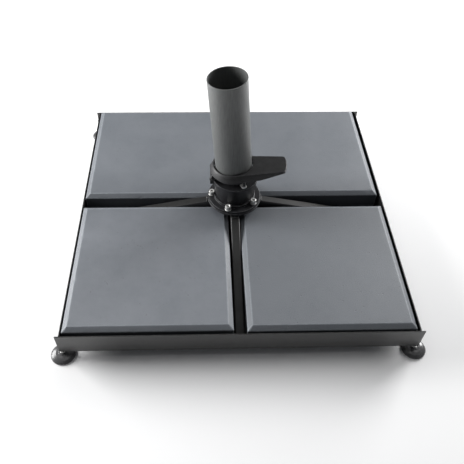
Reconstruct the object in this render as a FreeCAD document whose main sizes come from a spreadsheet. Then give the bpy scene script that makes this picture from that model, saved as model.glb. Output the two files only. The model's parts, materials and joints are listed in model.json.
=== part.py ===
import FreeCAD, Part
import math
import os
import Sketcher

# Ballast base of a rotating cantilever parasol. Millimetres, +Z up, floor at z = 0.
# The hub axis is the Z axis; the front rail faces -Y and the pedal points to +X.

doc = FreeCAD.newDocument("parasol_base")
V = FreeCAD.Vector
X_AXIS, Y_AXIS, Z_AXIS = V(1, 0, 0), V(0, 1, 0), V(0, 0, 1)

# ---------------------------------------------------------------- driving dimensions
DIMENSIONS = [
    # frame
    ("frame_width", 1000), ("frame_depth", 1000), ("rail_bottom", 32), ("rail_top", 109),
    ("rail_wall", 3), ("rail_leg", 45), ("rail_overhang", 11),
    # feet
    ("foot_x", 506), ("foot_y", 491), ("pad_radius", 35), ("pad_rim", 4), ("pad_height", 15),
    ("stud_radius", 4), ("stud_bottom", 6), ("stud_top", 62), ("stud_collar", 5),
    ("stud_hex", 13), ("sleeve_radius", 6), ("sleeve_bore", 4.06), ("sleeve_bottom", 25),
    ("sleeve_top", 78),
    # slabs
    ("slab_side", 472), ("slab_bottom", 35), ("slab_top", 120), ("slab_edge", 110),
    ("slab_bevel", 14),
    # arms and what lies under them
    ("arm_width", 28), ("arm_wall", 3), ("arm_start", 26), ("arm_slope_start", 53.9),
    ("arm_end", 496.8), ("arm_top_start", 140.5), ("arm_top_end", 45.3), ("arm_bottom", 35),
    ("arm_bend", 4),
    ("arm_tab_start", 456), ("strip_half", 46), ("core_radius", 64),
    ("arm_bolt_distance", 474), ("arm_bolt_radius", 4), ("arm_bolt_hex", 13),
    # hub
    ("hub_plate_radius", 87), ("hub_plate_bottom", 140.5), ("hub_plate_top", 146.5),
    ("spindle_radius", 24), ("spindle_bore", 18), ("spindle_top", 228),
    ("ring_radius", 84), ("ring_top", 154), ("ring_collar_radius", 66), ("ring_collar_top", 162),
    ("ring_lip_bottom", 156), ("ring_lip_radius", 58.8), ("ring_recess_radius", 61.6),
    ("bolt_circle", 73), ("bolt_first_angle", 36), ("bolt_radius", 5), ("bolt_head_radius", 9.2),
    ("bolt_head", 13), ("bolt_socket", 8), ("washer_radius", 10.4), ("washer_thickness", 2.5),
    # turret
    ("thrust_top", 149.6), ("turret_flange_radius", 61.2), ("turret_flange_top", 155.6),
    ("turret_base_radius", 58.4), ("turret_cone_bottom", 163), ("turret_cone_radius", 60),
    ("turret_rim_radius", 72), ("turret_rim_bottom", 232), ("turret_top", 236),
    ("turret_neck_radius", 47), ("turret_neck_top", 258), ("shoulder_radius", 55.6),
    ("hollow_bottom", 234), ("hollow_radius", 40),
    ("bush_radius", 30.2), ("bush_bore", 24.06), ("bush_length", 24),
    # mast, which leans by mast_lean about a point on the hub axis at lean_height
    ("mast_lean", 5), ("lean_height", 210), ("mast_radius", 56.7), ("mast_wall", 3.7),
    ("mast_bottom", 43), ("mast_top", 382), ("socket_radius", 53.6), ("socket_depth", 80),
    ("spigot_radius", 52.9), ("spigot_top", 100),
    ("shoulder_bottom", 40), ("mast_screw_height", 52), ("mast_screw_radius", 4),
    ("mast_screw_head", 2.7),
    # pedal, measured along the leaning axis from lean_height
    ("pedal_bottom", 59), ("pedal_top", 80), ("pedal_bore", 60.5), ("pedal_top_radius", 63.3),
    ("pedal_radius", 74), ("skirt_bottom", 46), ("skirt_bore", 62.5), ("skirt_radius", 65),
    ("paddle_slope_start", 78),
    ("pivot_x", -73), ("pivot_z", 249), ("pin_radius", 4), ("pin_half", 36),
    ("ear_inner", 24), ("ear_outer", 32), ("knuckle_front", 8.5), ("knuckle_rear", 6.6),
    ("lug_half", 23.6), ("lug_reach", 6),
    # spring and plunger
    ("spring_x", 64), ("spring_wire", 0.8), ("spring_radius", 4.6), ("spring_height", 38.4),
    ("spring_turns", 7),
    ("plunger_x", 20), ("plunger_y", -50), ("plunger_radius", 4), ("plunger_bottom", 151.6),
    ("plunger_head_bottom", 241.5), ("plunger_head_top", 247.5),
    ("stub_x", 28.5), ("stub_y", -61.5), ("stub_bottom", 36),
]
sheet = doc.addObject("Spreadsheet::Sheet", "Dims")
for row, (alias, value) in enumerate(DIMENSIONS, start=1):
    sheet.set("A%d" % row, alias)
    sheet.set("B%d" % row, str(value))
    sheet.setAlias("B%d" % row, alias)
doc.recompute()
size = {alias: float(value) for alias, value in DIMENSIONS}


def ref(name):
    """An expression that reads one driving dimension."""
    return "<<Dims>>." + name


def value_of(expression):
    """The number an expression stands for, used to draw a sketch before it is constrained."""
    return float(sheet.evalExpression(expression))


# ---------------------------------------------------------------- helpers
def new_body(label):
    body = doc.addObject("PartDesign::Body", label)
    body.Label = label
    return body


def place(item, x=None, y=None, z=None, turn=0.0):
    """Bind an object's placement to the sheet; turn is about Z in degrees."""
    item.Placement = FreeCAD.Placement(V(), FreeCAD.Rotation(Z_AXIS, turn))
    for axis, expression in (("x", x), ("y", y), ("z", z)):
        if expression is not None:
            item.setExpression("Placement.Base." + axis, expression)


def lean(body):
    """Stand a body on the leaning mast axis."""
    body.Placement = FreeCAD.Placement(V(), FreeCAD.Rotation(Y_AXIS, -size["mast_lean"]))
    body.setExpression("Placement.Base.z", ref("lean_height"))


def sketch(body, name, plane, offset=None):
    """A sketch on one of the body's origin planes, lifted by the expression in offset."""
    item = body.newObject("Sketcher::SketchObject", name)
    origin = [f for f in body.Origin.OriginFeatures if f.Role == plane + "_Plane"][0]
    item.AttachmentSupport = [(origin, "")]
    item.MapMode = "FlatFace"
    if offset is not None:
        item.setExpression("AttachmentOffset.Base.z", offset)
    return item


def polygon(item, points):
    """A closed outline whose corners are each bound to a pair of expressions."""
    first = item.GeometryCount
    numbers = [(value_of(x), value_of(y)) for x, y in points]
    count = len(points)
    for index in range(count):
        start, end = numbers[index], numbers[(index + 1) % count]
        item.addGeometry(Part.LineSegment(V(start[0], start[1], 0), V(end[0], end[1], 0)), False)
    for index in range(count):
        item.addConstraint(Sketcher.Constraint(
            "Coincident", first + index, 2, first + (index + 1) % count, 1))
    for index, (x, y) in enumerate(points):
        for kind, expression, number in (("DistanceX", x, numbers[index][0]),
                                         ("DistanceY", y, numbers[index][1])):
            made = item.addConstraint(
                Sketcher.Constraint(kind, -1, 1, first + index, 1, number))
            item.setExpression("Constraints[%d]" % made, expression)


def rectangle(item, x_low, x_high, y_low, y_high):
    polygon(item, [(x_low, y_low), (x_high, y_low), (x_high, y_high), (x_low, y_high)])


def circle(item, radius, x="0", y="0"):
    """A circle bound to expressions for its radius and centre."""
    centre = V(value_of(x), value_of(y), 0)
    index = item.addGeometry(Part.Circle(centre, Z_AXIS, value_of(radius)), False)
    for kind, expression, number in (("DistanceX", x, centre.x), ("DistanceY", y, centre.y)):
        made = item.addConstraint(Sketcher.Constraint(kind, -1, 1, index, 3, number))
        item.setExpression("Constraints[%d]" % made, expression)
    made = item.addConstraint(Sketcher.Constraint("Radius", index, value_of(radius)))
    item.setExpression("Constraints[%d]" % made, radius)


def hexagon(item, across_flats):
    """A hexagon about the origin."""
    corners = []
    for corner in range(6):
        angle = math.radians(60 * corner)
        x = "%s / 2 * %.6f" % (across_flats, math.cos(angle) / math.cos(math.pi / 6))
        y = "%s / 2 * %.6f" % (across_flats, math.sin(angle) / math.cos(math.pi / 6))
        corners.append((x, y))
    polygon(item, corners)


def pad(body, profile, length):
    feature = body.newObject("PartDesign::Pad", profile.Name + "_pad")
    feature.Profile = profile
    feature.setExpression("Length", length)
    profile.Visibility = False
    doc.recompute()
    return feature


def pocket(body, profile, length=None, reverse=False, both=False):
    """Cut a profile to a depth, or through everything in both directions."""
    feature = body.newObject("PartDesign::Pocket", profile.Name + "_pocket")
    feature.Profile = profile
    if length is None:
        feature.Type = "ThroughAll"
        feature.Midplane = True
    else:
        feature.setExpression("Length", length)
        feature.Midplane = both
    feature.Reversed = reverse
    before = body_volume(feature.BaseFeature)
    doc.recompute()
    if feature.Shape.Volume >= before - 1e-6:
        raise RuntimeError("pocket removed nothing: " + profile.Name)
    return feature


def body_volume(feature):
    return feature.Shape.Volume if feature is not None else 0.0


def revolve(body, profile):
    """Turn an XZ profile about the body's Z axis."""
    feature = body.newObject("PartDesign::Revolution", profile.Name + "_turned")
    feature.Profile = profile
    feature.ReferenceAxis = (profile, ["V_Axis"])
    feature.Angle = 360
    doc.recompute()
    return feature


def loft(body, lower, upper):
    """A solid with straight sides between two outlines of equally many corners."""
    feature = body.newObject("PartDesign::AdditiveLoft", lower.Name + "_loft")
    feature.Profile = lower
    feature.Sections = [upper]
    feature.Ruled = True
    before = body_volume(feature.BaseFeature)
    doc.recompute()
    if feature.Shape.Volume <= before + 1e-6:
        raise RuntimeError("loft added nothing: " + lower.Name)
    return feature


def soften(body, feature, edges, radius):
    """Round the named edges of a feature."""
    fillet = body.newObject("PartDesign::Fillet", feature.Name + "_soft")
    fillet.Base = (feature, edges)
    fillet.Radius = radius
    doc.recompute()
    return fillet


def edges_where(feature, test):
    """Names of the edges whose ends and middle all pass a test."""
    names = []
    for index, edge in enumerate(feature.Shape.Edges, start=1):
        middle = edge.valueAt((edge.FirstParameter + edge.LastParameter) / 2)
        if all(test(point) for point in [v.Point for v in edge.Vertexes] + [middle]):
            names.append("Edge%d" % index)
    return names


def group(label, solids):
    """One node made of separate identical solids, sized from the sheet."""
    item = doc.addObject("Part::Feature", label)
    item.Label = label
    item.Shape = Part.makeCompound(solids)
    item.Placement = FreeCAD.Placement()
    return item


def hex_prism(across_flats, bottom, height):
    reach = across_flats / 2 / math.cos(math.pi / 6)
    corners = [V(reach * math.cos(math.radians(60 * k)), reach * math.sin(math.radians(60 * k)),
                 bottom) for k in range(7)]
    return Part.Face(Part.makePolygon(corners)).extrude(V(0, 0, height))


def copies(solid, spots):
    """The solid moved to each (x, y, turn) spot."""
    moved = []
    for x, y, turn in spots:
        piece = solid.copy()
        piece.Placement = FreeCAD.Placement(V(x, y, 0), FreeCAD.Rotation(Z_AXIS, turn))
        moved.append(piece)
    return moved


CORNERS = [("front_left", -1, -1), ("front_right", 1, -1), ("rear_left", -1, 1), ("rear_right", 1, 1)]
SIDES = [("front", 270), ("right", 0), ("rear", 90), ("left", 180)]
nodes = []


# ---------------------------------------------------------------- frame
def make_long_rail(label, turn):
    """An angle section along X, its leg inwards; it runs past the side rails at both ends."""
    body = new_body(label)
    profile = sketch(body, label + "_wall", "XY", ref("rail_bottom"))
    half = ref("frame_width") + " / 2 + " + ref("rail_overhang")
    edge = ref("frame_depth") + " / 2"
    rectangle(profile, "-(" + half + ")", half, "-(" + edge + ")",
              "-(" + edge + ") + " + ref("rail_wall"))
    pad(body, profile, ref("rail_top") + " - " + ref("rail_bottom"))
    leg = sketch(body, label + "_leg", "XY", ref("rail_bottom"))
    inner = "(" + ref("frame_width") + " / 2 - " + ref("rail_wall") + ")"
    rectangle(leg, "-" + inner, inner, "-(" + edge + ")",
              "-(" + edge + ") + " + ref("rail_leg"))
    pad(body, leg, ref("rail_wall"))
    hole = sketch(body, label + "_hole", "XY")
    circle(hole, ref("arm_bolt_radius") + " + 0.2", "0", "-" + ref("arm_bolt_distance"))
    pocket(body, hole)
    place(body, turn=turn)
    nodes.append(body)


def make_short_rail(label, turn):
    """An angle section along Y, butted between the long rails."""
    body = new_body(label)
    profile = sketch(body, label + "_wall", "XY", ref("rail_bottom"))
    half = ref("frame_depth") + " / 2 - " + ref("rail_wall")
    edge = ref("frame_width") + " / 2"
    rectangle(profile, edge + " - " + ref("rail_wall"), edge, "-(" + half + ")", half)
    pad(body, profile, ref("rail_top") + " - " + ref("rail_bottom"))
    leg = sketch(body, label + "_leg", "XY", ref("rail_bottom"))
    inner = ref("frame_depth") + " / 2 - " + ref("rail_leg")
    rectangle(leg, edge + " - " + ref("rail_leg"), edge, "-(" + inner + ")", inner)
    pad(body, leg, ref("rail_wall"))
    hole = sketch(body, label + "_hole", "XY")
    circle(hole, ref("arm_bolt_radius") + " + 0.2", ref("arm_bolt_distance"), "0")
    pocket(body, hole)
    place(body, turn=turn)
    nodes.append(body)


make_long_rail("rail_front", 0)
make_long_rail("rail_rear", 180)
make_short_rail("rail_right", 0)
make_short_rail("rail_left", 180)


# ---------------------------------------------------------------- feet
def make_foot_sleeves():
    """Threaded sleeves in the outer corners between rail overhang and side rail."""
    tube = Part.makeCylinder(size["sleeve_radius"], size["sleeve_top"] - size["sleeve_bottom"],
                             V(0, 0, size["sleeve_bottom"]))
    bore = Part.makeCylinder(size["sleeve_bore"], size["sleeve_top"], V())
    spots = [(sx * size["foot_x"], sy * size["foot_y"], 0) for _, sx, sy in CORNERS]
    nodes.append(group("foot_sleeves", copies(tube.cut(bore), spots)))


def make_foot_pad(corner, sign_x, sign_y):
    body = new_body("foot_pad_" + corner)
    profile = sketch(body, "pad_profile_" + corner, "XZ")
    radius = ref("pad_radius")
    height = ref("pad_height")
    rim = ref("pad_rim")
    polygon(profile, [("0", "0"), (radius + " - 1", "0"), (radius, "1"), (radius, rim),
                      (radius + " * 0.93", rim + " + 3.2"), (radius + " * 0.78", rim + " + 6.2"),
                      (radius + " * 0.55", rim + " + 8.8"), (radius + " * 0.3", height),
                      ("0", height)])
    revolve(body, profile)
    hole = sketch(body, "pad_hole_" + corner, "XY", height)
    circle(hole, ref("stud_radius"))
    pocket(body, hole, height + " - " + ref("stud_bottom"))
    place(body, "%d * %s" % (sign_x, ref("foot_x")), "%d * %s" % (sign_y, ref("foot_y")))
    nodes.append(body)


def make_foot_stud(corner, sign_x, sign_y):
    body = new_body("foot_stud_" + corner)
    shank = sketch(body, "stud_shank_" + corner, "XY", ref("stud_bottom"))
    circle(shank, ref("stud_radius"))
    pad(body, shank, ref("stud_top") + " - " + ref("stud_bottom"))
    collar = sketch(body, "stud_collar_" + corner, "XY", ref("pad_height"))
    hexagon(collar, ref("stud_hex"))
    pad(body, collar, ref("stud_collar"))
    place(body, "%d * %s" % (sign_x, ref("foot_x")), "%d * %s" % (sign_y, ref("foot_y")))
    nodes.append(body)


make_foot_sleeves()
for corner_name, sign_x, sign_y in CORNERS:
    make_foot_pad(corner_name, sign_x, sign_y)
    make_foot_stud(corner_name, sign_x, sign_y)


# ---------------------------------------------------------------- slabs
# The cast slabs lie loose in the frame and differ by a few millimetres: the low corner of
# each, and what its depth falls short of slab_side.
SLABS = {"front_left": (-493, -487, 0), "front_right": (17, -491, 0),
         "rear_left": (-493, 28, 5), "rear_right": (15, 33, 9)}


def make_slab(corner):
    body = new_body("slab_" + corner)
    outline = sketch(body, "slab_outline_" + corner, "XY", ref("slab_bottom"))
    x, y, short = SLABS[corner]
    side = ref("slab_side")
    rectangle(outline, "0", side, "0", "%s - %d" % (side, short))
    block = pad(body, outline, ref("slab_top") + " - " + ref("slab_bottom"))
    top_edges = edges_where(block, lambda p: abs(p.z - size["slab_top"]) < 1e-4)
    bevel = body.newObject("PartDesign::Chamfer", "slab_bevel_" + corner)
    bevel.Base = (block, top_edges)
    bevel.ChamferType = "Two distances"
    bevel.setExpression("Size", ref("slab_top") + " - " + ref("slab_edge"))
    bevel.setExpression("Size2", ref("slab_bevel"))
    doc.recompute()
    body.Placement = FreeCAD.Placement(V(x, y, 0), FreeCAD.Rotation())
    nodes.append(body)


for corner_name, _, _ in CORNERS:
    make_slab(corner_name)


# ---------------------------------------------------------------- arms
def make_arm(side, turn):
    """A tapering channel, open below, from under the hub plate out to the rail."""
    body = new_body("arm_" + side)
    flank = sketch(body, "arm_flank_" + side, "XZ")
    start, end, bottom = ref("arm_start"), ref("arm_end"), ref("arm_bottom")
    top_start, top_end = ref("arm_top_start"), ref("arm_top_end")
    slope = ref("arm_slope_start")
    polygon(flank, [(start, bottom), (end, bottom), (end, top_end), (slope, top_start),
                    (start, top_start)])
    solid = pad(body, flank, ref("arm_width"))
    solid.Midplane = True
    doc.recompute()
    half = size["arm_width"] / 2
    upper = edges_where(solid, lambda p: abs(abs(p.y) - half) < 1e-4
                        and p.z > size["arm_top_end"] - 1 and p.z > size["arm_bottom"] + 1)
    long_edges = [name for name in upper
                  if solid.Shape.Edges[int(name[4:]) - 1].Length > 200]
    soften(body, solid, long_edges, size["arm_bend"])
    inside = sketch(body, "arm_inside_" + side, "XZ")
    wall = ref("arm_wall")
    polygon(inside, [(start + " - 1", bottom + " - 1"), (end + " + 1", bottom + " - 1"),
                     (end + " + 1", top_end + " - " + wall), (slope, top_start + " - " + wall),
                     (start + " - 1", top_start + " - " + wall)])
    pocket(body, inside, ref("arm_width") + " - 2 * " + wall, both=True)
    tab = sketch(body, "arm_tab_" + side, "XY", bottom)
    inner_half = "(" + ref("arm_width") + " / 2 - " + wall + ")"
    rectangle(tab, ref("arm_tab_start"), end, "-" + inner_half, inner_half)
    pad(body, tab, wall)
    hole = sketch(body, "arm_hole_" + side, "XY", bottom)
    circle(hole, ref("arm_bolt_radius") + " + 0.2", ref("arm_bolt_distance"), "0")
    pocket(body, hole, wall, reverse=True)
    place(body, turn=turn)
    nodes.append(body)


def make_support_strips():
    """Flat strips under the arms, on which the slabs' inner edges rest."""
    start = size["core_radius"]
    end = size["frame_width"] / 2 - size["rail_leg"]
    strip = Part.makeBox(end - start, 2 * size["strip_half"], size["rail_wall"],
                         V(start, -size["strip_half"], size["rail_bottom"]))
    nodes.append(group("support_strips", copies(strip, [(0, 0, turn) for _, turn in SIDES])))


def make_core_plate():
    body = new_body("core_plate")
    disc = sketch(body, "core_disc", "XY", ref("rail_bottom"))
    circle(disc, ref("core_radius"))
    pad(body, disc, ref("rail_wall"))
    nodes.append(body)


def make_arm_fasteners():
    """Bolts that stand in the arm ends, with their nuts under the rails."""
    bolt_bottom = size["rail_bottom"] - 9
    head_bottom = size["arm_bottom"] + size["arm_wall"]
    shank = Part.makeCylinder(size["arm_bolt_radius"], head_bottom - bolt_bottom,
                              V(0, 0, bolt_bottom))
    bolt = shank.fuse(hex_prism(size["arm_bolt_hex"], head_bottom, 5.3)).removeSplitter()
    nut_height = 6.5
    nut = hex_prism(size["arm_bolt_hex"], size["rail_bottom"] - nut_height, nut_height)
    nut = nut.cut(Part.makeCylinder(size["arm_bolt_radius"] + 0.02, 40, V()))
    reach = size["arm_bolt_distance"]
    spots = [(reach * math.cos(math.radians(turn)), reach * math.sin(math.radians(turn)), turn)
             for _, turn in SIDES]
    nodes.append(group("arm_end_bolts", copies(bolt, spots)))
    nodes.append(group("arm_end_nuts", copies(nut, spots)))


for side_name, side_turn in SIDES:
    make_arm(side_name, side_turn)
make_support_strips()
make_core_plate()
make_arm_fasteners()


# ---------------------------------------------------------------- hub, fixed part
BOLT_ANGLES = [-(size["bolt_first_angle"] + 72 * k) for k in range(5)]
BOLT_SPOTS = [(size["bolt_circle"] * math.cos(math.radians(a)),
               size["bolt_circle"] * math.sin(math.radians(a)), a) for a in BOLT_ANGLES]


def bolt_holes(body, name, radius):
    """Five through holes on the bolt circle."""
    holes = sketch(body, name, "XY")
    for angle in BOLT_ANGLES:
        circle(holes, radius, "%s * %.8f" % (ref("bolt_circle"), math.cos(math.radians(angle))),
               "%s * %.8f" % (ref("bolt_circle"), math.sin(math.radians(angle))))
    pocket(body, holes)


def make_hub_plate():
    body = new_body("hub_plate")
    disc = sketch(body, "hub_disc", "XY", ref("hub_plate_bottom"))
    circle(disc, ref("hub_plate_radius"))
    circle(disc, ref("spindle_radius"))
    solid = pad(body, disc, ref("hub_plate_top") + " - " + ref("hub_plate_bottom"))
    rim = edges_where(solid, lambda p: abs(math.hypot(p.x, p.y) - size["hub_plate_radius"]) < 1e-3
                      and abs(p.z - size["hub_plate_top"]) < 1e-3)
    soften(body, solid, rim, 2)
    bolt_holes(body, "hub_holes", ref("bolt_radius") + " + 0.02")
    # a shallow well under the plunger's toe
    well = sketch(body, "hub_well", "XY", ref("hub_plate_top"))
    circle(well, ref("ring_recess_radius"))
    circle(well, "48.6")
    pocket(body, well, "2.5")
    nodes.append(body)


def make_spindle():
    body = new_body("spindle")
    tube = sketch(body, "spindle_tube", "XY", ref("arm_bottom"))
    circle(tube, ref("spindle_radius"))
    circle(tube, ref("spindle_bore"))
    pad(body, tube, ref("spindle_top") + " - " + ref("arm_bottom"))
    nodes.append(body)


def make_thrust_washer():
    body = new_body("thrust_washer")
    disc = sketch(body, "thrust_disc", "XY", ref("hub_plate_top"))
    circle(disc, "48")
    circle(disc, ref("spindle_radius") + " + 1")
    pad(body, disc, ref("thrust_top") + " - " + ref("hub_plate_top"))
    nodes.append(body)


def make_retainer_ring():
    """Upper plate with a raised collar; its lip holds the turret's flange down."""
    body = new_body("retainer_ring")
    profile = sketch(body, "retainer_profile", "XZ")
    bottom, top = ref("hub_plate_top"), ref("ring_top")
    recess, lip = ref("ring_recess_radius"), ref("ring_lip_radius")
    collar, radius = ref("ring_collar_radius"), ref("ring_radius")
    polygon(profile, [(recess, bottom), (radius, bottom), (radius, top + " - 1"),
                      (radius + " - 1", top), (collar, top),
                      (collar, ref("ring_collar_top") + " - 1.5"),
                      (collar + " - 1.5", ref("ring_collar_top")), (lip, ref("ring_collar_top")),
                      (lip, ref("ring_lip_bottom")), (recess, ref("ring_lip_bottom"))])
    revolve(body, profile)
    seats = sketch(body, "bolt_seats", "XY", top)
    for angle in BOLT_ANGLES:
        circle(seats, ref("washer_radius") + " + 0.4",
               "%s * %.8f" % (ref("bolt_circle"), math.cos(math.radians(angle))),
               "%s * %.8f" % (ref("bolt_circle"), math.sin(math.radians(angle))))
    pocket(body, seats, ref("ring_collar_top") + " - " + top + " + 1", reverse=True)
    bolt_holes(body, "retainer_holes", ref("bolt_radius") + " + 0.3")
    nodes.append(body)


def make_ring_fasteners():
    """Socket head screws with washers that hold the retainer ring down."""
    head_bottom = size["ring_top"] + size["washer_thickness"]
    head_top = head_bottom + size["bolt_head"]
    shank_bottom = size["hub_plate_bottom"] + 0.5
    shank = Part.makeCylinder(size["bolt_radius"], head_bottom - shank_bottom,
                              V(0, 0, shank_bottom))
    head = Part.makeCylinder(size["bolt_head_radius"], size["bolt_head"], V(0, 0, head_bottom))
    rim = [edge for edge in head.Edges if abs(edge.CenterOfMass.z - head_top) < 1e-3]
    bolt = shank.fuse(head.makeChamfer(0.8, rim)).removeSplitter()
    bolt = bolt.cut(hex_prism(size["bolt_socket"], head_top - 5, 6))
    washer = Part.makeCylinder(size["washer_radius"], size["washer_thickness"],
                               V(0, 0, size["ring_top"]))
    washer = washer.cut(Part.makeCylinder(size["bolt_radius"] + 0.2, 400, V()))
    nodes.append(group("ring_bolts", copies(bolt, BOLT_SPOTS)))
    nodes.append(group("ring_washers", copies(washer, BOLT_SPOTS)))


make_hub_plate()
make_spindle()
make_thrust_washer()
make_retainer_ring()
make_ring_fasteners()


# ---------------------------------------------------------------- turret
# The mast axis leans towards -X and crosses the hub axis at lean_height.
MAST_FRAME = FreeCAD.Placement(V(0, 0, size["lean_height"]),
                               FreeCAD.Rotation(Y_AXIS, -size["mast_lean"]))
SCREW_TURNS = (50, 130)


def cross_hole(body, name, turn, frame):
    """A mast screw's hole, pointing out from the mast axis at an angle about it."""
    hole = sketch(body, name, "YZ")
    plane = FreeCAD.Rotation(V(1, 1, 1), 120)
    centre = frame.multVec(V(0, 0, size["mast_screw_height"]))
    spin = frame.Rotation.multiply(FreeCAD.Rotation(Z_AXIS, turn))
    hole.AttachmentOffset = FreeCAD.Placement(
        plane.inverted().multVec(centre), plane.inverted().multiply(spin).multiply(plane))
    circle(hole, ref("mast_screw_radius") + " + 0.06")
    pocket(body, hole, ref("mast_radius") + " + 5", reverse=True)


def make_turret():
    """Bell-shaped casting that turns on the spindle and carries the mast on a leaning spigot."""
    body = new_body("turret")
    profile = sketch(body, "turret_profile", "XZ")
    bore = ref("bush_radius")
    polygon(profile, [
        (bore, ref("thrust_top")), (ref("turret_flange_radius"), ref("thrust_top")),
        (ref("turret_flange_radius"), ref("turret_flange_top")),
        (ref("turret_base_radius"), ref("turret_flange_top")),
        (ref("turret_base_radius"), ref("turret_cone_bottom")),
        (ref("turret_cone_radius"), ref("turret_cone_bottom") + " + 2"),
        (ref("turret_rim_radius"), ref("turret_rim_bottom")),
        (ref("turret_rim_radius"), ref("turret_top") + " - 1"),
        (ref("turret_rim_radius") + " - 1", ref("turret_top")),
        (ref("turret_neck_radius"), ref("turret_top")),
        (ref("turret_neck_radius"), ref("turret_neck_top")), (bore, ref("turret_neck_top"))])
    revolve(body, profile)
    angle = ref("mast_lean")
    # shoulder and spigot stand square to the leaning mast axis
    for name, radius, low, high in (
            ("shoulder", ref("shoulder_radius"), ref("shoulder_bottom"), ref("mast_bottom")),
            ("spigot", ref("spigot_radius"), ref("shoulder_bottom"), ref("spigot_top"))):
        disc = sketch(body, "turret_" + name, "XY")
        disc.AttachmentOffset = FreeCAD.Placement(V(), FreeCAD.Rotation(Y_AXIS, -size["mast_lean"]))
        low_z = "%s + %s * cos(%s * 1 deg)" % (ref("lean_height"), low, angle)
        low_x = "-%s * sin(%s * 1 deg)" % (low, angle)
        disc.setExpression("AttachmentOffset.Base.z", low_z)
        disc.setExpression("AttachmentOffset.Base.x", low_x)
        circle(disc, radius)
        pad(body, disc, "%s - %s" % (high, low))
    mouth = sketch(body, "turret_bore", "XY", ref("thrust_top"))
    circle(mouth, bore)
    pocket(body, mouth, ref("turret_neck_top") + " - " + ref("thrust_top"), reverse=True)
    hollow = sketch(body, "spigot_hollow", "XY", ref("hollow_bottom"))
    circle(hollow, ref("hollow_radius"))
    pocket(body, hollow, ref("spigot_top"), reverse=True)
    # lug that carries the pedal pin
    lug = sketch(body, "turret_lug", "XZ")
    outer = ref("pivot_x") + " - " + ref("lug_reach")
    polygon(lug, [(outer, ref("turret_top") + " - 14"),
                  ("-61", ref("turret_top") + " - 14"), ("-61", ref("pivot_z") + " + 4"),
                  (ref("pivot_x") + " + 5", ref("pivot_z") + " + 8"),
                  (outer + " + 3", ref("pivot_z") + " + 8"), (outer, ref("pivot_z") + " + 4")])
    solid = pad(body, lug, "2 * " + ref("lug_half"))
    solid.Midplane = True
    doc.recompute()
    hole = sketch(body, "lug_hole", "XZ")
    circle(hole, ref("pin_radius"), ref("pivot_x"), ref("pivot_z"))
    pocket(body, hole, "200", both=True)
    for turn in SCREW_TURNS:
        cross_hole(body, "screw_hole_%d" % turn, turn, MAST_FRAME)
    # guide bore of the lock plunger and the gap for its toe in the flange
    guide = sketch(body, "plunger_guide", "XY", ref("thrust_top"))
    circle(guide, ref("plunger_radius") + " + 0.06", ref("plunger_x"), ref("plunger_y"))
    pocket(body, guide, ref("turret_top") + " - " + ref("thrust_top") + " + 1", reverse=True)
    nodes.append(body)
    return body


def toe_slot(body):
    """Radial gap through the turret's flange for the plunger's toe."""
    angle = math.atan2(size["plunger_y"], size["plunger_x"])
    slot = sketch(body, "toe_slot", "XY", ref("thrust_top"))
    corners = []
    for along, across in ((48, -7), (64, -7), (64, 7), (48, 7)):
        corners.append(("%.6f" % (along * math.cos(angle) - across * math.sin(angle)),
                        "%.6f" % (along * math.sin(angle) + across * math.cos(angle))))
    polygon(slot, corners)
    pocket(body, slot, ref("turret_flange_top") + " - " + ref("thrust_top"), reverse=True)


def make_bush(label, bottom):
    body = new_body(label)
    ring = sketch(body, label + "_ring", "XY", bottom)
    circle(ring, ref("bush_radius"))
    circle(ring, ref("bush_bore"))
    pad(body, ring, ref("bush_length"))
    nodes.append(body)


def make_mast():
    """Lower length of the mast tube, standing over the turret's spigot."""
    body = new_body("mast")
    ring = sketch(body, "mast_ring", "XY", ref("mast_bottom"))
    circle(ring, ref("mast_radius"))
    circle(ring, ref("mast_radius") + " - " + ref("mast_wall"))
    pad(body, ring, ref("mast_top") + " - " + ref("mast_bottom"))
    socket = sketch(body, "mast_socket", "XY", ref("mast_top"))
    circle(socket, ref("socket_radius"))
    pocket(body, socket, ref("socket_depth"))
    for turn in SCREW_TURNS:
        cross_hole(body, "mast_hole_%d" % turn, turn, FreeCAD.Placement())
    lean(body)
    nodes.append(body)


turret = make_turret()
toe_slot(turret)
make_bush("bush_lower", ref("thrust_top") + " + 1")
make_bush("bush_upper", ref("spindle_top") + " - " + ref("bush_length") + " - 1")
make_mast()


# ---------------------------------------------------------------- pedal
# Corners of the paddle seen along the mast, measured from the mast axis: at the level of the
# collar's lip, and at the top face. Its sides run out of the collar's sloping wall.
PADDLE_LOWER = [(7, -73.7), (148, -61), (154, -58), (159.5, -43), (162.5, -22), (162.5, 0),
                (160, 11), (156, 14), (58, 30), (20, 34)]
PADDLE_UPPER = [(6, -63.2), (147, -59), (152, -56), (157.5, -42), (160.5, -22), (160.5, -2),
                (158, 8), (154, 11.3), (58, 24.6), (20, 29)]


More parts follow.
